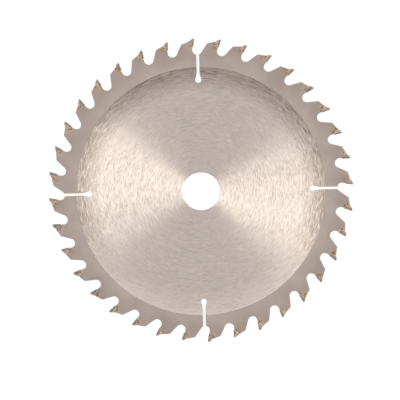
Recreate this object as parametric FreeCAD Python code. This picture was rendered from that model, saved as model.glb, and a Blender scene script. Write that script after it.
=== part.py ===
import FreeCAD, Part
import math
import os

Vector = FreeCAD.Vector

# A carbide-tipped circular saw blade, lying flat as it would come to rest on a bench.
# Sizes are in millimetres and angles in degrees.
# The origin is on the axis of the bore, half way through the plate, and Z is the arbor's axis.
# Seen from +Z the teeth cut clockwise, so "ahead" of a tooth is clockwise and "behind" it is not.

# The blade as it is sold
blade_diameter = 160.0       # over the carbide points
bore_diameter = 20.0
plate_thickness = 1.6
kerf = 2.4                   # width of the cut, across the widest part of a carbide tip
tooth_count = 36
first_tooth_angle = 2.56     # from +X, anticlockwise seen from +Z

# Steel teeth and gullets
hook_angle = 10.0            # lean of the cutting face ahead of the radius
gullet_depth = 8.6           # from the circle of the points to the bottom of a gullet
gullet_radius = 2.5
tooth_length = 6.9           # from the point back to the shoulder
land_angle = 18.5            # fall of the steel land behind the tip
land_step = 0.9              # steel land below the back edge of the carbide

# Carbide tips
tip_length = 4.4             # down the cutting face
tip_thickness = 1.6          # behind the cutting face
tip_proud = 0.3              # cutting face ahead of the gullet's front wall
tip_corner_chamfer = 0.4     # inner back corner, clear of the radius in the seat
top_clearance = 15.0         # fall of the ground top behind the point
top_bevel = 15.0             # alternate top bevel, across the kerf
side_clearance = 1.5         # narrowing of the tip towards the bore
back_clearance = 2.0         # narrowing of the tip behind its face
seat_radius = 0.3            # inside corner of the seat
braze_gap = 0.15             # braze between the tip and its seat

# Braze that has run out over the plate behind each tip
braze_edge = 0.05            # thickness at the rim of the run-out
braze_fill = 0.5             # share of the step between plate and kerf that it fills beside the tip
braze_top_gap = 0.35         # carbide left bare above the braze, at the tip's back edge
braze_hollow = 0.35          # sag of the fillet on the land towards its corner
braze_foot = 0.9             # run-out below the seat
braze_foot_back = 1.4        # where it reaches lowest, behind the cutting face
braze_front = 0.25           # run-out below the seat, at the gullet's front wall
braze_spread = 2.2           # run-out along the land, on an average joint
braze_spread_swing = 0.6     # slow change in the run-out around the blade
braze_spread_jitter = 0.3    # difference from one joint to the next
braze_fullest_tooth = 16     # one of the joints with the most run-out

# Bore, finish of the rim and expansion slots
bore_chamfer = 0.15
rim_width = 14.8             # the rim is blasted matt, this far in from the circle of the points
blast_depth = 0.02           # metal taken off each side by blasting
blast_offset_x = -0.06       # the mask sat a little off the centre of the bore
blast_offset_y = -0.28
slot_count = 4
slot_width = 1.5
slot_length = 13.0           # from the bottom of the gullet to the middle of the keyhole
slot_lead = 1.1              # angle of a slot ahead of its tooth's point
keyhole_radius = 1.65
slot_blend_radius = 10.0     # hollow flank between the keyhole and the slot

# Values that follow from the ones above
outer_radius = blade_diameter / 2
bore_radius = bore_diameter / 2
half_plate = plate_thickness / 2
half_kerf = kerf / 2
half_rim = half_plate - blast_depth
braze_rim = half_rim + braze_edge
braze_top = half_plate + braze_fill * (half_kerf - half_plate)
blast_radius = outer_radius - rim_width
keyhole_centre_radius = outer_radius - gullet_depth - slot_length
tooth_pitch = 360.0 / tooth_count
hook = math.radians(hook_angle)
clearance = math.radians(top_clearance)
land = math.radians(land_angle)
gullet_centre_radius = outer_radius - gullet_depth + gullet_radius
seat_depth = tip_length + braze_gap
seat_back = tip_thickness + braze_gap
tip_back_depth = tip_thickness * math.tan(hook + clearance)
land_depth = tip_back_depth + land_step
z_axis = Vector(0, 0, 1)
centre = Vector(0, 0, 0)


def line(start, end):
    return Part.LineSegment(start, end).toShape()


def arc(start, middle, end):
    return Part.Arc(start, middle, end).toShape()


def prism(edges, height):
    """A solid that stands on a closed outline and is centred on the plane of the blade."""
    solid = Part.Face(Part.Wire(edges)).extrude(Vector(0, 0, height))
    solid.translate(Vector(0, 0, -height / 2))
    return solid


def turned(shape, angle):
    copy = shape.copy()
    copy.rotate(centre, z_axis, angle)
    return copy


def tooth_angle(index):
    return first_tooth_angle + index * tooth_pitch


def tooth_point(depth, back, height=0.0):
    """A place on the tooth whose point is on +X: down its cutting face, and behind that face."""
    x = outer_radius - depth * math.cos(hook) + back * math.sin(hook)
    y = depth * math.sin(hook) + back * math.cos(hook)
    return Vector(x, y, height)


def gullet_centre():
    """Centre of the gullet ahead of the tooth, with its front wall parallel to the cutting face."""
    back = tip_proud - gullet_radius
    across = outer_radius * math.sin(hook) + back
    depth = outer_radius * math.cos(hook) - math.sqrt(gullet_centre_radius ** 2 - across ** 2)
    return depth, back


def rotated(point, angle):
    return FreeCAD.Rotation(z_axis, angle).multVec(point)


def tangent_point(outside, middle, radius):
    """Where the back of a tooth, drawn from its shoulder, touches the next gullet's circle."""
    to_outside = outside - middle
    half_angle = math.degrees(math.acos(radius / to_outside.Length))
    return middle + rotated(to_outside.normalize() * radius, -half_angle)


def land_point(run):
    """A place on the steel land, a length behind the seat."""
    start = tooth_point(land_depth, seat_back)
    return start + Vector(-math.sin(land), math.cos(land), 0) * run


def tooth_edges():
    """Outline of one steel tooth and the gullet behind it, for the tooth whose point is on +X."""
    centre_depth, centre_back = gullet_centre()
    own_centre = tooth_point(centre_depth, centre_back)
    front_foot = tooth_point(centre_depth, tip_proud)
    seat_front = tooth_point(seat_depth, tip_proud)
    round_start = tooth_point(seat_depth, seat_back - seat_radius)
    inset = seat_radius * (1 - math.cos(math.radians(45)))
    round_middle = tooth_point(seat_depth - inset, seat_back - inset)
    round_end = tooth_point(seat_depth - seat_radius, seat_back)
    land_start = land_point(0)
    shoulder = land_point((tooth_length - land_start.y) / math.cos(land))
    next_centre = rotated(own_centre, tooth_pitch)
    back_foot = tangent_point(shoulder, next_centre, gullet_radius)
    next_foot = rotated(front_foot, tooth_pitch)
    bottom = next_centre - Vector(next_centre).normalize() * gullet_radius
    return [
        line(front_foot, seat_front),
        line(seat_front, round_start),
        arc(round_start, round_middle, round_end),
        line(round_end, land_start),
        line(land_start, shoulder),
        line(shoulder, back_foot),
        arc(back_foot, bottom, next_foot),
    ]


def slot_cutter():
    """Expansion slot along +X, from its keyhole out into a gullet."""
    half_slot = slot_width / 2
    blend_y = half_slot + slot_blend_radius
    reach = keyhole_radius + slot_blend_radius
    blend_x = keyhole_centre_radius + math.sqrt(reach ** 2 - blend_y ** 2)
    lean = math.asin(blend_y / reach)
    touch_x = keyhole_centre_radius + keyhole_radius * math.cos(lean)
    touch_y = keyhole_radius * math.sin(lean)
    middle_angle = (math.pi / 2 - lean) / 2
    middle_x = blend_x - slot_blend_radius * math.sin(middle_angle)
    middle_y = blend_y - slot_blend_radius * math.cos(middle_angle)
    hole_end = Vector(keyhole_centre_radius - keyhole_radius, 0, 0)
    edges = [
        arc(Vector(touch_x, touch_y, 0), hole_end, Vector(touch_x, -touch_y, 0)),
        arc(Vector(touch_x, -touch_y, 0), Vector(middle_x, -middle_y, 0), Vector(blend_x, -half_slot, 0)),
        line(Vector(blend_x, -half_slot, 0), Vector(gullet_centre_radius, -half_slot, 0)),
        line(Vector(gullet_centre_radius, -half_slot, 0), Vector(gullet_centre_radius, half_slot, 0)),
        line(Vector(gullet_centre_radius, half_slot, 0), Vector(blend_x, half_slot, 0)),
        arc(Vector(blend_x, half_slot, 0), Vector(middle_x, middle_y, 0), Vector(touch_x, touch_y, 0)),
    ]
    return prism(edges, plate_thickness)


def bore_cutter():
    """The bore with its two chamfers."""
    mouth = bore_radius + bore_chamfer
    hole = Part.makeCylinder(bore_radius, plate_thickness, Vector(0, 0, -half_plate))
    top = Part.makeCone(bore_radius, mouth, bore_chamfer, Vector(0, 0, half_plate - bore_chamfer))
    bottom = Part.makeCone(mouth, bore_radius, bore_chamfer, Vector(0, 0, -half_plate))
    return hole.fuse([top, bottom])


def rim_cutter():
    """The metal that blasting takes off one side of the rim, outside a round mask."""
    disc = Part.makeCylinder(outer_radius, blast_depth, Vector(0, 0, half_rim))
    mask = Part.makeCylinder(blast_radius, blast_depth, Vector(blast_offset_x, blast_offset_y, half_rim))
    return disc.cut(mask)


def make_plate():
    edges = []
    for index in range(tooth_count):
        for edge in tooth_edges():
            edges.append(turned(edge, tooth_angle(index)))
    blank = prism(edges, plate_thickness)
    top_rim = rim_cutter()
    bottom_rim = top_rim.mirror(centre, z_axis)
    cutters = [bore_cutter(), top_rim, bottom_rim]
    for number in range(slot_count):
        index = round(number * tooth_count / slot_count)
        cutters.append(turned(slot_cutter(), tooth_angle(index) - slot_lead))
    return blank.cut(cutters)


def ground_off(solid, point, outward):
    """A solid about as large as a tip, with all that lies outside a ground plane taken away."""
    half = 2 * (tip_length + kerf)
    stock = Part.makeBox(2 * half, 2 * half, half, Vector(-half, -half, 0))
    stock.Placement = FreeCAD.Placement(point, FreeCAD.Rotation(z_axis, outward))
    return solid.cut(stock)


def tip_blank():
    """A carbide tip on the tooth whose point is on +X, before its sides and top are ground."""
    corners = [
        tooth_point(0, 0),
        tooth_point(tip_length, 0),
        tooth_point(tip_length, tip_thickness - tip_corner_chamfer),
        tooth_point(tip_length - tip_corner_chamfer, tip_thickness),
        tooth_point(tip_back_depth, tip_thickness),
    ]
    edges = []
    for number, corner in enumerate(corners):
        edges.append(line(corners[number - 1], corner))
    return prism(edges, 2 * kerf)


def top_ground(solid, point_side):
    """The solid ground to the top of a tip, whose high corner is on the +Z side (1) or the -Z side (-1)."""
    outward = Vector(math.cos(clearance), math.sin(clearance), 0)
    outward -= z_axis * (point_side * math.tan(math.radians(top_bevel)))
    return ground_off(solid, tooth_point(0, 0, point_side * half_kerf), outward)


def make_tip(point_side):
    tip = tip_blank()
    down_face = Vector(-math.cos(hook), math.sin(hook), 0)
    behind_face = Vector(math.sin(hook), math.cos(hook), 0)
    narrowing = down_face * math.tan(math.radians(side_clearance))
    narrowing += behind_face * math.tan(math.radians(back_clearance))
    for side in (1, -1):
        tip = ground_off(tip, tooth_point(0, 0, side * half_kerf), narrowing + z_axis * side)
    return top_ground(tip, point_side)


def run_out(index):
    """How far the braze has run back along the land of one tooth, fullest at two places around the blade."""
    turn = math.radians((index - braze_fullest_tooth) * tooth_pitch)
    return braze_spread + braze_spread_swing * math.cos(2 * turn) + braze_spread_jitter * math.sin(index ** 2)


def make_braze(index, point_side, tip, plate):
    """One brazed joint: the film in the seat, and the hollow fillets where it has run out."""
    inside_tip = tip_thickness / 2
    climb = tooth_point(tip_back_depth + braze_top_gap, tip_thickness)
    rim_back = land_point(run_out(index))
    rim_foot = tooth_point(seat_depth + braze_foot, braze_foot_back)
    rim_front = tooth_point(seat_depth + braze_front, tip_proud)
    chord_middle = (climb + rim_back) / 2
    hollow = chord_middle + (land_point(0) - chord_middle) * braze_hollow
    inner_top = tooth_point(tip_back_depth + braze_top_gap, inside_tip)
    inner_foot = tooth_point(tip_length, inside_tip)
    inner_front = tooth_point(tip_length, tip_proud)
    edges = [
        line(inner_top, climb),
        arc(climb, hollow, rim_back),
        line(rim_back, rim_foot),
        line(rim_foot, rim_front),
        line(rim_front, inner_front),
        line(inner_front, inner_foot),
        line(inner_foot, inner_top),
    ]
    joint = prism(edges, 2 * braze_top)
    rim = rim_foot - rim_back
    reach = (climb - rim_back).cross(rim).Length / rim.Length
    rise = braze_top - braze_rim
    fillet_radius = (reach ** 2 + rise ** 2) / (2 * rise)
    fillet_start = rim_back - rim
    fillet_length = 3 * rim.Length
    for side in (1, -1):
        fillet_start.z = side * (braze_rim + fillet_radius)
        joint = joint.cut(Part.makeCylinder(fillet_radius, fillet_length, fillet_start, rim))
    joint = top_ground(joint, point_side)
    return turned(joint, tooth_angle(index)).cut([tip, plate])


def save(shape, name):
    shape.exportStep("parts/" + name + ".step")


def main():
    os.makedirs("parts", exist_ok=True)
    plate = make_plate()
    save(plate, "blade_plate")
    ground_tips = {1: make_tip(1), -1: make_tip(-1)}
    names = {1: "left_point_tip_%02d", -1: "right_point_tip_%02d"}
    joints = []
    for index in range(tooth_count):
        point_side = 1 if index % 2 else -1
        tip = turned(ground_tips[point_side], tooth_angle(index))
        save(tip, names[point_side] % (index + 1))
        joints.append(make_braze(index, point_side, tip, plate))
    save(Part.makeCompound(joints), "braze_joints")


main()
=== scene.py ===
import bpy
import bmesh
import math
from mathutils import Matrix, Vector


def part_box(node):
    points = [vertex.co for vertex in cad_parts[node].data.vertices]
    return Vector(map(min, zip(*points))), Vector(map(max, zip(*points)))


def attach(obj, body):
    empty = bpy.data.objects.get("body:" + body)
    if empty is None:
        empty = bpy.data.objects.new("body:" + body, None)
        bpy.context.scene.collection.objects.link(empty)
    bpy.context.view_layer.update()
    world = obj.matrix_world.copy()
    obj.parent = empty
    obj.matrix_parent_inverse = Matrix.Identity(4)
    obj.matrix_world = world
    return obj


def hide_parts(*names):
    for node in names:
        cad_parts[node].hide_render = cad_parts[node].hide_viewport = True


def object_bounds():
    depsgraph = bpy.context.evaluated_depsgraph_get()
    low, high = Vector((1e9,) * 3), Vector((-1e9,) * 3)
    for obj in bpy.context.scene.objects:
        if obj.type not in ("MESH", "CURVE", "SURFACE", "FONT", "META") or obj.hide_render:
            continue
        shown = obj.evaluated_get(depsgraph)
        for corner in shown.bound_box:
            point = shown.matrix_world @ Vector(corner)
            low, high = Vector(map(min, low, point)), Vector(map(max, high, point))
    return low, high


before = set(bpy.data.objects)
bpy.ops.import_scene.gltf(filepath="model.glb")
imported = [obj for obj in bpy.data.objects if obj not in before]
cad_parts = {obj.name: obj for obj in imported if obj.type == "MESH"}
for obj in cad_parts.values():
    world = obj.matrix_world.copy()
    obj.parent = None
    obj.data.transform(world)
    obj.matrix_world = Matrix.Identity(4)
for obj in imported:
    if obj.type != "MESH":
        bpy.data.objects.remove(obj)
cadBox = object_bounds()
print("frame loaded:", len(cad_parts), "nodes")

mm = 0.001  # metres in a millimetre


def toLinear(hexColour):
    # sRGB hex to the linear colour that a shader takes
    channels = []
    for place in (0, 2, 4):
        value = int(hexColour[place:place + 2], 16) / 255
        channels.append(value / 12.92 if value <= 0.04045 else ((value + 0.055) / 1.055) ** 2.4)
    return (*channels, 1.0)


def addNode(tree, kind, settings, inputs):
    # one node: a socket given as an input is linked, anything else is set
    node = tree.nodes.new(kind)
    for name, value in settings.items():
        setattr(node, name, value)
    for name, value in inputs.items():
        if isinstance(value, bpy.types.NodeSocket):
            tree.links.new(value, node.inputs[name])
        else:
            node.inputs[name].default_value = value
    return node


def newMaterial(name):
    # a material with an empty node tree
    material = bpy.data.materials.new(name)
    material.use_nodes = True
    material.node_tree.nodes.clear()
    return material, material.node_tree


# what the frame says about the blade
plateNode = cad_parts["blade_plate"]
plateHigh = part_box("blade_plate")[1]
boreRadius = min(v.co.xy.length for v in plateNode.data.vertices)

tipNames = sorted(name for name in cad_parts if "_tip_" in name)
pointRadius = max(v.co.xy.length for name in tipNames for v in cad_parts[name].data.vertices)
toothPitch = 2 * math.pi / len(tipNames)
firstPoint = max(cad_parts["right_point_tip_01"].data.vertices, key=lambda v: v.co.xy.length).co
firstToothAngle = math.atan2(firstPoint.y, firstPoint.x)

# the ground disc stands a hair above the rim, and its centre is a little off the bore's axis
sameLevel = 0.002 * mm  # heights closer than this are one face
discPoints = [v.co.xy for v in plateNode.data.vertices if v.co.z > plateHigh.z - sameLevel]
discLow = Vector((min(c.x for c in discPoints), min(c.y for c in discPoints)))
discHigh = Vector((max(c.x for c in discPoints), max(c.y for c in discPoints)))
discCentre = (discLow + discHigh) / 2
discRadius = (discHigh.x - discLow.x) / 2
print("ground disc", round(discRadius / mm, 2), "mm round", [round(c / mm, 2) for c in discCentre])


def bladePlace(tree):
    # a place on the blade in metres, and how far out from the bore's axis it is
    place = addNode(tree, "ShaderNodeTexCoord", {}, {}).outputs["Object"]
    flat = addNode(tree, "ShaderNodeVectorMath", {"operation": "MULTIPLY"}, {0: place, 1: (1, 1, 0)})
    radius = addNode(tree, "ShaderNodeVectorMath", {"operation": "LENGTH"}, {0: flat.outputs[0]})
    return place, radius.outputs["Value"]


pointAhead = 0.25  # share of a pitch, just ahead of a tooth's point, that still counts as that tooth's


def toothTurns(tree, place):
    # how many pitches round the blade a place is: the whole part is the tooth's number
    axes = addNode(tree, "ShaderNodeSeparateXYZ", {}, {"Vector": place})
    angle = addNode(tree, "ShaderNodeMath", {"operation": "ARCTAN2"},
                    {0: axes.outputs["Y"], 1: axes.outputs["X"]})
    turns = addNode(tree, "ShaderNodeMath", {"operation": "MULTIPLY_ADD"},
                    {0: angle.outputs[0], 1: 1 / toothPitch, 2: pointAhead - firstToothAngle / toothPitch})
    return turns.outputs[0]


def toothPlace(tree, turns, radius):
    # how far a place is behind its tooth's point, and how deep below the circle of the points
    share = addNode(tree, "ShaderNodeMath", {"operation": "FRACT"}, {0: turns})
    share = addNode(tree, "ShaderNodeMath", {"operation": "SUBTRACT"}, {0: share.outputs[0], 1: pointAhead})
    behind = addNode(tree, "ShaderNodeMath", {"operation": "MULTIPLY"},
                     {0: share.outputs[0], 1: toothPitch * pointRadius})
    depth = addNode(tree, "ShaderNodeMath", {"operation": "SUBTRACT"}, {0: pointRadius, 1: radius})
    return behind.outputs[0], depth.outputs[0]


def toothChance(tree, turns):
    # white noise that is the same all over one tooth
    number = addNode(tree, "ShaderNodeMath", {"operation": "FLOOR"}, {0: turns})
    return addNode(tree, "ShaderNodeTexWhiteNoise", {"noise_dimensions": "1D"}, {"W": number.outputs[0]})


def streakNoise(tree, place, radius, streak):
    # noise drawn out along circles round the bore
    width, length, waver, seed = streak
    around = addNode(tree, "ShaderNodeVectorMath", {"operation": "MULTIPLY"},
                     {0: place, 1: (1 / length, 1 / length, 0)})
    outward = addNode(tree, "ShaderNodeMath", {"operation": "MULTIPLY_ADD"},
                      {0: radius, 1: 1 / width, 2: seed})
    level = addNode(tree, "ShaderNodeCombineXYZ", {}, {"Z": outward.outputs[0]})
    joined = addNode(tree, "ShaderNodeVectorMath", {"operation": "ADD"},
                     {0: around.outputs[0], 1: level.outputs[0]})
    noise = addNode(tree, "ShaderNodeTexNoise", {},
                    {"Vector": joined.outputs[0], "Scale": 1.0, "Detail": 2.0, "Roughness": 0.6,
                     "Distortion": waver})
    return noise.outputs["Fac"]


def addTone(tree, tone, pattern, amount):
    # adds a pattern's swing about its middle, a half, to the running tone
    swing = addNode(tree, "ShaderNodeMath", {"operation": "SUBTRACT"}, {0: pattern, 1: 0.5})
    added = addNode(tree, "ShaderNodeMath", {"operation": "MULTIPLY_ADD"},
                    {0: swing.outputs[0], 1: amount, 2: tone})
    return added.outputs[0]


groundSteel = {
    "colour": "ecded7",
    "shadedBandColour": "ead8cf",          # a little browner, where the band at the edge is painted in shade
    "roughness": 0.53,
    "anisotropy": 1.0,
    # streaks: width and length of one, how much it wavers, and a seed. Real ones are finer than these,
    # which are drawn as coarse as they need to show
    "mark": (0.2 * mm, 4 * mm, 0.0, 3.1),        # a grinding mark
    "dash": (0.55 * mm, 2.8 * mm, 0.7, 11.7),    # a short bunch of marks
    "arc": (0.4 * mm, 5 * mm, 0.3, 5.3),         # a longer bunch near the edge, which shows in the band's painted shade round the upper half
    "cloud": 8 * mm,                 # size of the faint clouds in its shine
    # how much each pattern lightens and darkens the steel
    "markTone": 0.3,
    "arcTone": 1.35,
    "cloudTone": 0.12,
    "dashAndGlintTone": (0.45, 1.05),        # in the dull sectors, and in the fans at the left and right, where painted highlight streaks add to the real dashes
    "fanSpread": (0.55, 1.0),        # squared cosine of the angle off left or right, between those two
    "dashRoughness": -0.12,          # light dashes are a little smoother
    "markRelief": 0.25,
    "markDepth": 0.02 * mm,
    # the band at the edge, by distance in from it
    "bandStart": 12.5 * mm,
    "bandFull": 1.5 * mm,
    "bandFray": 2 * mm,              # how far its inner side strays with the clouds and the arcs
    "bandShade": -0.37,               # its painted shade round the upper half, and its painted highlight below
    "bandHighlight": 0.18,
    "shadedAbove": (-0.88, -0.15),        # how high round the disc, from -1 to 1, the painted highlight turns to painted shade
    # a thin line along the step down to the rim, painted shade above and painted highlight below: where it
    # starts and is full, and its tone above and below
    "lineStart": 0.91 * mm,
    "lineFull": 0.49 * mm,
    "lineShade": -0.05,
    "lineHighlight": 0.06,
}


def makeGroundSteel():
    # saw steel, ground on a turning table: its ring grooves smear each lamp into a fan from the bore
    look = groundSteel
    material, tree = newMaterial("ground saw steel")
    place, radius = bladePlace(tree)
    flat = addNode(tree, "ShaderNodeVectorMath", {"operation": "MULTIPLY"}, {0: place, 1: (1, 1, 0)})
    outward = addNode(tree, "ShaderNodeVectorMath", {"operation": "DISTANCE"},
                      {0: flat.outputs[0], 1: (discCentre.x, discCentre.y, 0)})
    heading = addNode(tree, "ShaderNodeVectorMath", {"operation": "NORMALIZE"}, {0: flat.outputs[0]})
    heading = addNode(tree, "ShaderNodeSeparateXYZ", {}, {"Vector": heading.outputs[0]})
    marks = streakNoise(tree, place, radius, look["mark"])
    dashes = streakNoise(tree, place, radius, look["dash"])
    arcs = streakNoise(tree, place, radius, look["arc"])
    clouds = addNode(tree, "ShaderNodeTexNoise", {},
                     {"Vector": place, "Scale": 1 / look["cloud"], "Detail": 3.0})

    # painted shade makes the band at the edge dark and streaky round the upper half, and a painted highlight
    # makes it lighter below
    shadedAbove = addNode(tree, "ShaderNodeMapRange", {"interpolation_type": "SMOOTHSTEP"},
                     {"Value": heading.outputs["Y"],
                      "From Min": look["shadedAbove"][0], "From Max": look["shadedAbove"][1]})
    frayed = addTone(tree, outward.outputs["Value"], clouds.outputs["Fac"], look["bandFray"])
    frayed = addTone(tree, frayed, arcs, look["bandFray"])
    band = addNode(tree, "ShaderNodeMapRange", {},
                   {"Value": frayed, "From Min": discRadius - look["bandStart"],
                    "From Max": discRadius - look["bandFull"]})
    bandTone = addNode(tree, "ShaderNodeMapRange", {},
                       {"Value": shadedAbove.outputs[0], "To Min": look["bandHighlight"], "To Max": look["bandShade"]})
    arcTone = addNode(tree, "ShaderNodeMath", {"operation": "MULTIPLY"},
                      {0: addTone(tree, 0.0, arcs, look["arcTone"]), 1: shadedAbove.outputs[0]})
    bandTone = addNode(tree, "ShaderNodeMath", {"operation": "ADD"},
                       {0: bandTone.outputs[0], 1: arcTone.outputs[0]})
    # painted shade along the step round the upper half, and a painted highlight along it below
    line = addNode(tree, "ShaderNodeMapRange", {"interpolation_type": "SMOOTHSTEP"},
                   {"Value": outward.outputs["Value"], "From Min": discRadius - look["lineStart"],
                    "From Max": discRadius - look["lineFull"]})
    lineTone = addNode(tree, "ShaderNodeMapRange", {},
                       {"Value": shadedAbove.outputs[0], "To Min": look["lineHighlight"], "To Max": look["lineShade"]})

    # the tone of it all: the dashes are painted with more contrast in the fans, as painted highlight streaks
    # where the lamps reflect
    sideways = addNode(tree, "ShaderNodeMath", {"operation": "MULTIPLY"},
                       {0: heading.outputs["X"], 1: heading.outputs["X"]})
    dashAndGlintTone = addNode(tree, "ShaderNodeMapRange", {"interpolation_type": "SMOOTHSTEP"},
                       {"Value": sideways.outputs[0],
                        "From Min": look["fanSpread"][0], "From Max": look["fanSpread"][1],
                        "To Min": look["dashAndGlintTone"][0], "To Max": look["dashAndGlintTone"][1]})
    tone = addTone(tree, 1.0, clouds.outputs["Fac"], look["cloudTone"])
    tone = addTone(tree, tone, marks, look["markTone"])
    tone = addTone(tree, tone, dashes, dashAndGlintTone.outputs[0])
    tone = addNode(tree, "ShaderNodeMath", {"operation": "MULTIPLY_ADD"},
                   {0: bandTone.outputs[0], 1: band.outputs[0], 2: tone})
    tone = addNode(tree, "ShaderNodeMath", {"operation": "MULTIPLY_ADD"},
                   {0: lineTone.outputs[0], 1: line.outputs[0], 2: tone.outputs[0]})
    # the band's painted shade round the upper half takes the browner colour
    inBandShade = addNode(tree, "ShaderNodeMath", {"operation": "MULTIPLY"},
                         {0: band.outputs[0], 1: shadedAbove.outputs[0]})
    steel = addNode(tree, "ShaderNodeMix", {"data_type": "RGBA"},
                    {0: inBandShade.outputs[0], 6: toLinear(look["colour"]), 7: toLinear(look["shadedBandColour"])})
    colour = addNode(tree, "ShaderNodeVectorMath", {"operation": "SCALE"},
                     {0: steel.outputs[2], "Scale": tone.outputs[0]})

    rough = addTone(tree, look["roughness"], dashes, look["dashRoughness"])
    relief = addNode(tree, "ShaderNodeBump", {},
                     {"Strength": look["markRelief"], "Distance": look["markDepth"], "Height": marks})
    tangent = addNode(tree, "ShaderNodeTangent", {"direction_type": "RADIAL", "axis": "Z"}, {})
    shader = addNode(tree, "ShaderNodeBsdfPrincipled", {}, {
        "Base Color": colour.outputs[0], "Metallic": 1.0, "Roughness": rough,
        "Anisotropic": look["anisotropy"], "Anisotropic Rotation": 0.25,  # rough across the grooves
        "Normal": relief.outputs[0], "Tangent": tangent.outputs[0]})
    addNode(tree, "ShaderNodeOutputMaterial", {}, {"Surface": shader.outputs[0]})
    return material


blastedSteel = {
    "colour": "b0a49f",
    "dark": "9c8f8a",
    "straw": "bba38f",               # heat tint from the brazing: straw on some teeth, brown on others
    "brown": "8b7869",
    "roughness": 0.62,
    "grain": 0.35 * mm,              # the real grit is finer, and drawn as coarse as it needs to show
    "grainTone": 0.5,
    "grainRelief": 0.5,
    "grainDepth": 0.01 * mm,
    "cloud": 16 * mm,                # size of the faint clouds
    "cloudSpan": (0.35, 0.65),       # the noise over which the clouds go from dark to light
    "cloudTone": (0.65, 0.15),       # share of the dark colour at each end
    "duskStart": 66 * mm,            # darker towards the teeth, between these distances from the bore
    "duskFull": 74 * mm,
    "duskTone": 0.45,
    # the braze stopped running at a slanting line: its slope behind and below a point, and how far off it is
    "runOutSlope": (0.94, 0.34),
    "runOutEnd": 4.25 * mm,
    "stainReach": 3.2 * mm,          # how far beyond that line the tint fades out
    "stainFray": 5 * mm,             # how far its blotches move that
    "stainFloor": 7.5 * mm,          # it ends this deep below the points, and is full this much higher
    "stainFade": 3.5 * mm,
    "stainStrength": (0.25, 0.85),   # on the cleanest and the most stained tooth
    "blotch": 1.3 * mm,              # size of one blotch
    "blotchHeat": 2.5,               # how strongly the blotches mix straw and brown
}


def makeBlastedSteel():
    # the same steel blasted with fine grit: matt and even from every side, with heat tint on the teeth
    look = blastedSteel
    material, tree = newMaterial("grit blasted saw steel")
    place, radius = bladePlace(tree)
    grain = addNode(tree, "ShaderNodeTexNoise", {},
                    {"Vector": place, "Scale": 1 / look["grain"], "Detail": 2.0})
    clouds = addNode(tree, "ShaderNodeTexNoise", {},
                     {"Vector": place, "Scale": 1 / look["cloud"], "Detail": 3.0})
    grainTone = addNode(tree, "ShaderNodeMath", {"operation": "MULTIPLY_ADD"},
                        {0: grain.outputs["Fac"], 1: look["grainTone"], 2: -look["grainTone"] / 2})
    cloudTone = addNode(tree, "ShaderNodeMapRange", {"clamp": False},
                        {"Value": clouds.outputs["Fac"],
                         "From Min": look["cloudSpan"][0], "From Max": look["cloudSpan"][1],
                         "To Min": look["cloudTone"][0], "To Max": look["cloudTone"][1]})
    tone = addNode(tree, "ShaderNodeMath", {"operation": "ADD", "use_clamp": True},
                   {0: grainTone.outputs[0], 1: cloudTone.outputs[0]})
    dusk = addNode(tree, "ShaderNodeMapRange", {},
                   {"Value": radius, "From Min": look["duskStart"], "From Max": look["duskFull"],
                    "To Max": look["duskTone"]})
    tone = addNode(tree, "ShaderNodeMath", {"operation": "ADD", "use_clamp": True},
                   {0: tone.outputs[0], 1: dusk.outputs[0]})
    steel = addNode(tree, "ShaderNodeMix", {"data_type": "RGBA"},
                    {0: tone.outputs[0], 6: toLinear(look["colour"]), 7: toLinear(look["dark"])})

    # how far a place lies beyond the line where the braze stopped running
    turns = toothTurns(tree, place)
    behind, depth = toothPlace(tree, turns, radius)
    beyond = addNode(tree, "ShaderNodeMath", {"operation": "MULTIPLY_ADD"},
                     {0: behind, 1: look["runOutSlope"][0], 2: -look["runOutEnd"]})
    beyond = addNode(tree, "ShaderNodeMath", {"operation": "MULTIPLY_ADD"},
                     {0: depth, 1: look["runOutSlope"][1], 2: beyond.outputs[0]})
    blotches = addNode(tree, "ShaderNodeTexNoise", {},
                       {"Vector": place, "Scale": 1 / look["blotch"], "Detail": 2.0})
    beyond = addTone(tree, beyond.outputs[0], blotches.outputs["Fac"], look["stainFray"])

    # the tint fades out there, and downwards, and is stronger on some teeth than on others
    tint = addNode(tree, "ShaderNodeMapRange", {"interpolation_type": "SMOOTHSTEP"},
                   {"Value": beyond, "From Min": look["stainReach"], "From Max": 0.0})
    fading = addNode(tree, "ShaderNodeMapRange", {"interpolation_type": "SMOOTHSTEP"},
                     {"Value": depth, "From Min": look["stainFloor"],
                      "From Max": look["stainFloor"] - look["stainFade"]})
    chance = toothChance(tree, turns)
    strength = addNode(tree, "ShaderNodeMapRange", {},
                       {"Value": chance.outputs["Value"],
                        "To Min": look["stainStrength"][0], "To Max": look["stainStrength"][1]})
    amount = addNode(tree, "ShaderNodeMath", {"operation": "MULTIPLY"},
                     {0: tint.outputs[0], 1: strength.outputs[0]})
    amount = addNode(tree, "ShaderNodeMath", {"operation": "MULTIPLY"},
                     {0: amount.outputs[0], 1: fading.outputs[0]})
    chances = addNode(tree, "ShaderNodeSeparateColor", {}, {"Color": chance.outputs["Color"]})
    heat = addTone(tree, chances.outputs[1], blotches.outputs["Fac"], look["blotchHeat"])
    stain = addNode(tree, "ShaderNodeMix", {"data_type": "RGBA"},
                    {0: heat, 6: toLinear(look["brown"]), 7: toLinear(look["straw"])})
    colour = addNode(tree, "ShaderNodeMix", {"data_type": "RGBA"},
                     {0: amount.outputs[0], 6: steel.outputs[2], 7: stain.outputs[2]})

    relief = addNode(tree, "ShaderNodeBump", {},
                     {"Strength": look["grainRelief"], "Distance": look["grainDepth"],
                      "Height": grain.outputs["Fac"]})
    shader = addNode(tree, "ShaderNodeBsdfPrincipled", {}, {
        "Base Color": colour.outputs[2], "Metallic": 1.0, "Roughness": look["roughness"],
        "Normal": relief.outputs[0]})
    addNode(tree, "ShaderNodeOutputMaterial", {}, {"Surface": shader.outputs[0]})
    return material


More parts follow.
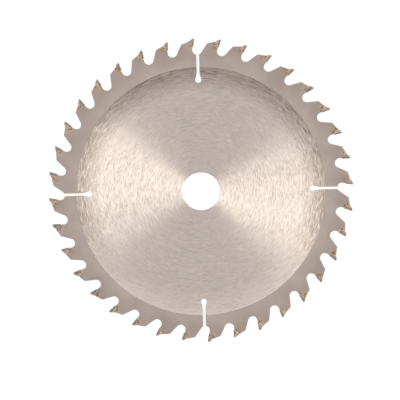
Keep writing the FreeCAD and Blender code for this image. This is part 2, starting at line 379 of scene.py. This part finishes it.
cutSteel = {
    "colour": "9c928a",
    "dark": "6f655e",
    "roughness": 0.45,
    "stria": 0.12 * mm,              # pitch of the striations that the laser left
    "striaDraw": 0.08,               # share of that pitch down the wall, which draws them out
    "striaSpan": (0.3, 0.7),         # the noise over which they go from dark to light
    "striaRelief": 0.6,
    "striaDepth": 0.02 * mm,
}


def makeCutSteel():
    # steel as a laser cut it: the walls are dull, with fine striations straight through the plate
    look = cutSteel
    material, tree = newMaterial("laser cut steel edge")
    place = addNode(tree, "ShaderNodeTexCoord", {}, {})
    drawn = addNode(tree, "ShaderNodeVectorMath", {"operation": "MULTIPLY"},
                    {0: place.outputs["Object"], 1: (1, 1, look["striaDraw"])})
    stria = addNode(tree, "ShaderNodeTexNoise", {},
                    {"Vector": drawn.outputs[0], "Scale": 1 / look["stria"], "Detail": 2.0})
    tone = addNode(tree, "ShaderNodeMapRange", {},
                   {"Value": stria.outputs["Fac"],
                    "From Min": look["striaSpan"][0], "From Max": look["striaSpan"][1]})
    colour = addNode(tree, "ShaderNodeMix", {"data_type": "RGBA"},
                     {0: tone.outputs[0], 6: toLinear(look["dark"]), 7: toLinear(look["colour"])})
    relief = addNode(tree, "ShaderNodeBump", {},
                     {"Strength": look["striaRelief"], "Distance": look["striaDepth"],
                      "Height": stria.outputs["Fac"]})
    shader = addNode(tree, "ShaderNodeBsdfPrincipled", {}, {
        "Base Color": colour.outputs[2], "Metallic": 1.0, "Roughness": look["roughness"],
        "Normal": relief.outputs[0]})
    addNode(tree, "ShaderNodeOutputMaterial", {}, {"Surface": shader.outputs[0]})
    return material


carbide = {
    "colour": "9f948b",
    "dark": "685d56",
    "tinted": "b9a99d",              # a tip's back took some colour in the torch, more on some than on others
    "roughness": 0.38,
    # a mark of the diamond wheel, drawn coarser than real: width and length, how much it wavers, and a seed
    "mark": (0.08 * mm, 2 * mm, 0.0, 1.9),
    "mottle": 1.2 * mm,              # size of the mottle that the torch left
    "toneSpan": (0.7, 1.3),          # marks and mottle together, over which dark turns to light
    "rake": 0.176,                   # how far the cutting face leans back for each step down it
    "tintStart": 0.5 * mm,           # back from the cutting face: where the tint starts, where it is full
    "tintFull": 1.5 * mm,
    "tintFray": 2 * mm,              # and how far the mottle moves that
}


def makeCarbide():
    # sintered tungsten carbide, ground with diamond: a hard dark grey with a dull shine
    look = carbide
    material, tree = newMaterial("ground tungsten carbide")
    place, radius = bladePlace(tree)
    marks = streakNoise(tree, place, radius, look["mark"])
    mottle = addNode(tree, "ShaderNodeTexNoise", {},
                     {"Vector": place, "Scale": 1 / look["mottle"], "Detail": 2.0})
    tone = addNode(tree, "ShaderNodeMath", {"operation": "ADD"}, {0: marks, 1: mottle.outputs["Fac"]})
    share = addNode(tree, "ShaderNodeMapRange", {},
                    {"Value": tone.outputs[0],
                     "From Min": look["toneSpan"][0], "From Max": look["toneSpan"][1]})
    grey = addNode(tree, "ShaderNodeMix", {"data_type": "RGBA"},
                   {0: share.outputs[0], 6: toLinear(look["dark"]), 7: toLinear(look["colour"])})

    # the tint, by distance back from the cutting face
    turns = toothTurns(tree, place)
    behind, depth = toothPlace(tree, turns, radius)
    fromFace = addNode(tree, "ShaderNodeMath", {"operation": "MULTIPLY_ADD"},
                       {0: depth, 1: -look["rake"], 2: behind})
    fromFace = addTone(tree, fromFace.outputs[0], mottle.outputs["Fac"], look["tintFray"])
    tint = addNode(tree, "ShaderNodeMapRange", {"interpolation_type": "SMOOTHSTEP"},
                   {"Value": fromFace, "From Min": look["tintStart"], "From Max": look["tintFull"]})
    amount = addNode(tree, "ShaderNodeMath", {"operation": "MULTIPLY"},
                     {0: tint.outputs[0], 1: toothChance(tree, turns).outputs["Value"]})
    colour = addNode(tree, "ShaderNodeMix", {"data_type": "RGBA"},
                     {0: amount.outputs[0], 6: grey.outputs[2], 7: toLinear(look["tinted"])})
    shader = addNode(tree, "ShaderNodeBsdfPrincipled", {}, {
        "Base Color": colour.outputs[2], "Metallic": 1.0, "Roughness": look["roughness"]})
    addNode(tree, "ShaderNodeOutputMaterial", {}, {"Surface": shader.outputs[0]})
    return material


braze = {
    "copper": "c8a48b",              # each joint is somewhere between copper and gold, and more or less dull
    "gold": "c6af97",
    "dull": "a3958a",
    "oxide": "655241",
    "roughness": 0.42,
    "dullSpan": (0.3, 1.0),          # a joint's chance at which it is bright, and at which it is dullest
    "dullMost": 0.8,
    "thin": 0.838 * mm,              # height above mid plate where the run-out is so thin that it burnt brown
    "thick": 0.856 * mm,             # and where it stayed clean
    "burntStrength": (0.4, 0.95),    # on the cleanest and the most burnt joint
    "patch": 1.2 * mm,               # size of the patches of oxide
    "patchSpan": (0.38, 0.54),       # the noise over which the burnt edge goes from broken to whole
    "patchLeast": 0.3,               # what is left of it where it is broken
    "dirtSpan": (0.5, 0.62),         # the noise over which a dark patch sets in
    "dirtMost": 0.9,
    "patchRelief": 0.6,
    "patchDepth": 0.1 * mm,
}


def makeBraze():
    # silver braze, frozen as it ran: soft lumps, coppery or golden where clean, and brown where it oxidised
    look = braze
    material, tree = newMaterial("oxidised silver braze")
    place = addNode(tree, "ShaderNodeTexCoord", {}, {}).outputs["Object"]
    patches = addNode(tree, "ShaderNodeTexNoise", {},
                      {"Vector": place, "Scale": 1 / look["patch"], "Detail": 3.0})
    chance = toothChance(tree, toothTurns(tree, place))
    chances = addNode(tree, "ShaderNodeSeparateColor", {}, {"Color": chance.outputs["Color"]})
    clean = addNode(tree, "ShaderNodeMix", {"data_type": "RGBA"},
                    {0: chances.outputs[0], 6: toLinear(look["gold"]), 7: toLinear(look["copper"])})
    dulling = addNode(tree, "ShaderNodeMapRange", {},
                      {"Value": chances.outputs[1],
                       "From Min": look["dullSpan"][0], "From Max": look["dullSpan"][1],
                       "To Max": look["dullMost"]})
    dull = addNode(tree, "ShaderNodeMix", {"data_type": "RGBA"},
                   {0: dulling.outputs[0], 6: clean.outputs[2], 7: toLinear(look["dull"])})

    # burnt brown along the thin edge, in broken patches, and dirty in spots anywhere
    axes = addNode(tree, "ShaderNodeSeparateXYZ", {}, {"Vector": place})
    height = addNode(tree, "ShaderNodeMath", {"operation": "ABSOLUTE"}, {0: axes.outputs["Z"]})
    burnt = addNode(tree, "ShaderNodeMapRange", {"interpolation_type": "SMOOTHSTEP"},
                    {"Value": height.outputs[0], "From Min": look["thick"], "From Max": look["thin"]})
    strength = addNode(tree, "ShaderNodeMapRange", {},
                       {"Value": chances.outputs[2],
                        "To Min": look["burntStrength"][0], "To Max": look["burntStrength"][1]})
    broken = addNode(tree, "ShaderNodeMapRange", {"interpolation_type": "SMOOTHSTEP"},
                     {"Value": patches.outputs["Fac"],
                      "From Min": look["patchSpan"][0], "From Max": look["patchSpan"][1],
                      "To Min": look["patchLeast"]})
    burnt = addNode(tree, "ShaderNodeMath", {"operation": "MULTIPLY"},
                    {0: burnt.outputs[0], 1: strength.outputs[0]})
    burnt = addNode(tree, "ShaderNodeMath", {"operation": "MULTIPLY"},
                    {0: burnt.outputs[0], 1: broken.outputs[0]})
    dirt = addNode(tree, "ShaderNodeMapRange", {},
                   {"Value": patches.outputs["Fac"],
                    "From Min": look["dirtSpan"][0], "From Max": look["dirtSpan"][1],
                    "To Max": look["dirtMost"]})
    oxidised = addNode(tree, "ShaderNodeMath", {"operation": "MAXIMUM"},
                       {0: burnt.outputs[0], 1: dirt.outputs[0]})
    colour = addNode(tree, "ShaderNodeMix", {"data_type": "RGBA"},
                     {0: oxidised.outputs[0], 6: dull.outputs[2], 7: toLinear(look["oxide"])})

    relief = addNode(tree, "ShaderNodeBump", {},
                     {"Strength": look["patchRelief"], "Distance": look["patchDepth"],
                      "Height": patches.outputs["Fac"]})
    shader = addNode(tree, "ShaderNodeBsdfPrincipled", {}, {
        "Base Color": colour.outputs[2], "Metallic": 1.0, "Roughness": look["roughness"],
        "Normal": relief.outputs[0]})
    addNode(tree, "ShaderNodeOutputMaterial", {}, {"Surface": shader.outputs[0]})
    return material


ground = makeGroundSteel()
blasted = makeBlastedSteel()
cut = makeCutSteel()
print("plate materials ready")

plate = {
    "finishes": (ground, blasted, cut),
    "weld": 0.0005 * mm,     # the CAD mesh's loose triangles are joined where corners are this close
    "flatBend": 1,           # degrees under which neighbouring triangles become one flat face
    "flat": 0.98,            # a face whose normal rises more than this is flat, and any other a wall or a lip
    "upright": 0.01,         # an upright wall's normal rises less than this
    "stepNear": 0.01 * mm,   # edges this near the disc's circle belong to its step, and stay sharp
    "lip": 0.09 * mm,        # the laser leaves each cut edge slightly rounded
    "lipSteps": 2,
    "chamferRise": 0.5,      # a chamfer's normal rises more than this
    "chamferReach": 0.3 * mm,  # the bore's chamfers end within this of its wall
    "crease": 50,            # degrees from which two walls meet in a sharp corner
}


def makePlate():
    # a copy of the CAD plate with its cut edges rounded, and each of its three finishes on its own faces
    onGround, onBlasted, onCut = range(len(plate["finishes"]))
    shape = bmesh.new()
    shape.from_mesh(plateNode.data)
    bmesh.ops.remove_doubles(shape, verts=shape.verts, dist=plate["weld"])
    bmesh.ops.dissolve_limit(shape, angle_limit=math.radians(plate["flatBend"]), verts=shape.verts,
                             edges=shape.edges, delimit={"NORMAL"})

    cutEdges = []
    for edge in shape.edges:
        rises = sorted(abs(face.normal.z) for face in edge.link_faces)
        fromDisc = abs((edge.verts[0].co.xy - discCentre).length - discRadius)
        if rises[0] < plate["upright"] and rises[1] > plate["flat"] and fromDisc >= plate["stepNear"]:
            cutEdges.append(edge)
    bmesh.ops.bevel(shape, geom=cutEdges, offset=plate["lip"], offset_type="OFFSET",
                    segments=plate["lipSteps"], profile=0.5, affect="EDGES", material=-1, clamp_overlap=True)
    shape.normal_update()

    for face in shape.faces:
        middle = face.calc_center_median()
        rise = abs(face.normal.z)
        if rise < plate["flat"]:
            # the bore's chamfers are as bright as the disc, and every other wall is as the laser left it
            byBore = middle.xy.length < boreRadius + plate["chamferReach"]
            face.material_index = onGround if byBore and rise > plate["chamferRise"] else onCut
            face.smooth = True
        else:
            onDisc = abs(abs(middle.z) - plateHigh.z) < sameLevel
            face.material_index = onGround if onDisc else onBlasted
    for edge in shape.edges:
        besideFlat = any(abs(face.normal.z) > plate["flat"] for face in edge.link_faces)
        edge.smooth = not besideFlat and edge.calc_face_angle(math.pi) < math.radians(plate["crease"])
    bmesh.ops.triangulate(shape, faces=shape.faces)

    mesh = bpy.data.meshes.new("steelPlate")
    for material in plate["finishes"]:
        mesh.materials.append(material)
    shape.to_mesh(mesh)
    shape.free()
    piece = bpy.data.objects.new("steelPlate", mesh)
    bpy.context.collection.objects.link(piece)
    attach(piece, "root")
    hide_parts("blade_plate")
    print("plate made:", len(cutEdges), "cut edges rounded,", len(mesh.polygons), "triangles")


makePlate()

# the tips and the braze keep their CAD shapes
carbideMaterial = makeCarbide()
brazeMaterial = makeBraze()
for name in tipNames:
    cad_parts[name].material_slots[0].material = carbideMaterial
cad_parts["braze_joints"].material_slots[0].material = brazeMaterial
print("tips and braze dressed")

floorLook = {
    "size": 24.0,
    "colour": "e6e6e6",              # the paper's own colour, for light that bounces off it
    "glow": 0.8,                     # what the camera and the metal see: a glow short of white,
    "faint": "8b8b8b",               # and a darker paper added to it, which shows the blade's shadow
}


def makeFloor():
    # matt white paper: the camera and the metal see it white, with the blade's soft shadow on it
    shape = bmesh.new()
    bmesh.ops.create_grid(shape, x_segments=1, y_segments=1, size=floorLook["size"] / 2)
    bmesh.ops.translate(shape, verts=shape.verts, vec=(0, 0, cadBox[0].z))
    mesh = bpy.data.meshes.new("floor")
    shape.to_mesh(mesh)
    shape.free()
    floor = bpy.data.objects.new("floor", mesh)
    bpy.context.collection.objects.link(floor)

    material, tree = newMaterial("white paper")
    path = addNode(tree, "ShaderNodeLightPath", {}, {})
    seen = addNode(tree, "ShaderNodeMath", {"operation": "MAXIMUM"},
                   {0: path.outputs["Is Camera Ray"], 1: path.outputs["Is Glossy Ray"]})
    seen = addNode(tree, "ShaderNodeMath", {"operation": "MAXIMUM"},
                   {0: seen.outputs[0], 1: path.outputs["Is Transmission Ray"]})
    paper = addNode(tree, "ShaderNodeBsdfDiffuse", {}, {"Color": toLinear(floorLook["colour"])})
    glow = addNode(tree, "ShaderNodeEmission", {}, {"Strength": floorLook["glow"]})
    faint = addNode(tree, "ShaderNodeBsdfDiffuse", {}, {"Color": toLinear(floorLook["faint"])})
    bright = addNode(tree, "ShaderNodeAddShader", {}, {0: glow.outputs[0], 1: faint.outputs[0]})
    shader = addNode(tree, "ShaderNodeMixShader", {},
                     {0: seen.outputs[0], 1: paper.outputs[0], 2: bright.outputs[0]})
    addNode(tree, "ShaderNodeOutputMaterial", {}, {"Surface": shader.outputs[0]})
    mesh.materials.append(material)


studio = {
    "world": (0.9, 0.9, 0.9, 1.0),
    "lampColour": (0.99, 1.0, 0.865),
    "lampReach": 0.95,               # metres from the bore
    "lampLean": 38,                  # degrees from straight up
    # three soft boxes on each side: width, height, watts, and how many degrees round the bore each stands
    "lamps": ((0.15, 0.5, 1.1, -23), (0.08, 0.5, 0.25, -4), (0.08, 0.5, 0.83, 14)),
}


def makeLight():
    # an even white surround, and on the left and right the soft boxes whose reflections are the two fans
    world = bpy.data.worlds.new("studio")
    bpy.context.scene.world = world
    world.use_nodes = True
    world.node_tree.nodes["Background"].inputs["Color"].default_value = studio["world"]
    lean = math.radians(studio["lampLean"])
    for side in (-1, 1):
        for width, height, watts, turn in studio["lamps"]:
            lamp = bpy.data.lights.new("soft box", "AREA")
            lamp.shape = "RECTANGLE"
            lamp.size = width
            lamp.size_y = height
            lamp.energy = watts
            lamp.color = studio["lampColour"]
            box = bpy.data.objects.new("soft box", lamp)
            away = Vector((side * math.sin(lean), 0, math.cos(lean)))
            away.rotate(Matrix.Rotation(math.radians(turn), 3, "Z"))
            box.location = away * studio["lampReach"]
            box.rotation_euler = away.to_track_quat("Z", "Y").to_euler()
            bpy.context.collection.objects.link(box)


camera = {
    "place": (-0.01035, 0.10218, 0.96738),       # both in metres, and lined up with the photograph's outline
    "aim": (-0.00059, -0.00454, 0.0),
    "lens": 167.14,                  # a long lens: the picture is 0.21 m across at the blade
    "sensor": 36.0,
}


def makeCamera():
    # looks down on the blade, about six degrees off straight, with the blade's +Y up in the picture
    data = bpy.data.cameras.new("camera")
    data.lens = camera["lens"]
    data.sensor_width = camera["sensor"]
    eye = bpy.data.objects.new("camera", data)
    eye.location = camera["place"]
    back = (Vector(camera["place"]) - Vector(camera["aim"])).normalized()
    right = Vector((0, 1, 0)).cross(back).normalized()
    eye.rotation_euler = Matrix((right, back.cross(right), back)).transposed().to_euler()
    bpy.context.collection.objects.link(eye)
    bpy.context.scene.camera = eye
    bpy.context.scene.view_settings.view_transform = "Standard"


makeFloor()
makeLight()
makeCamera()
print("studio ready")
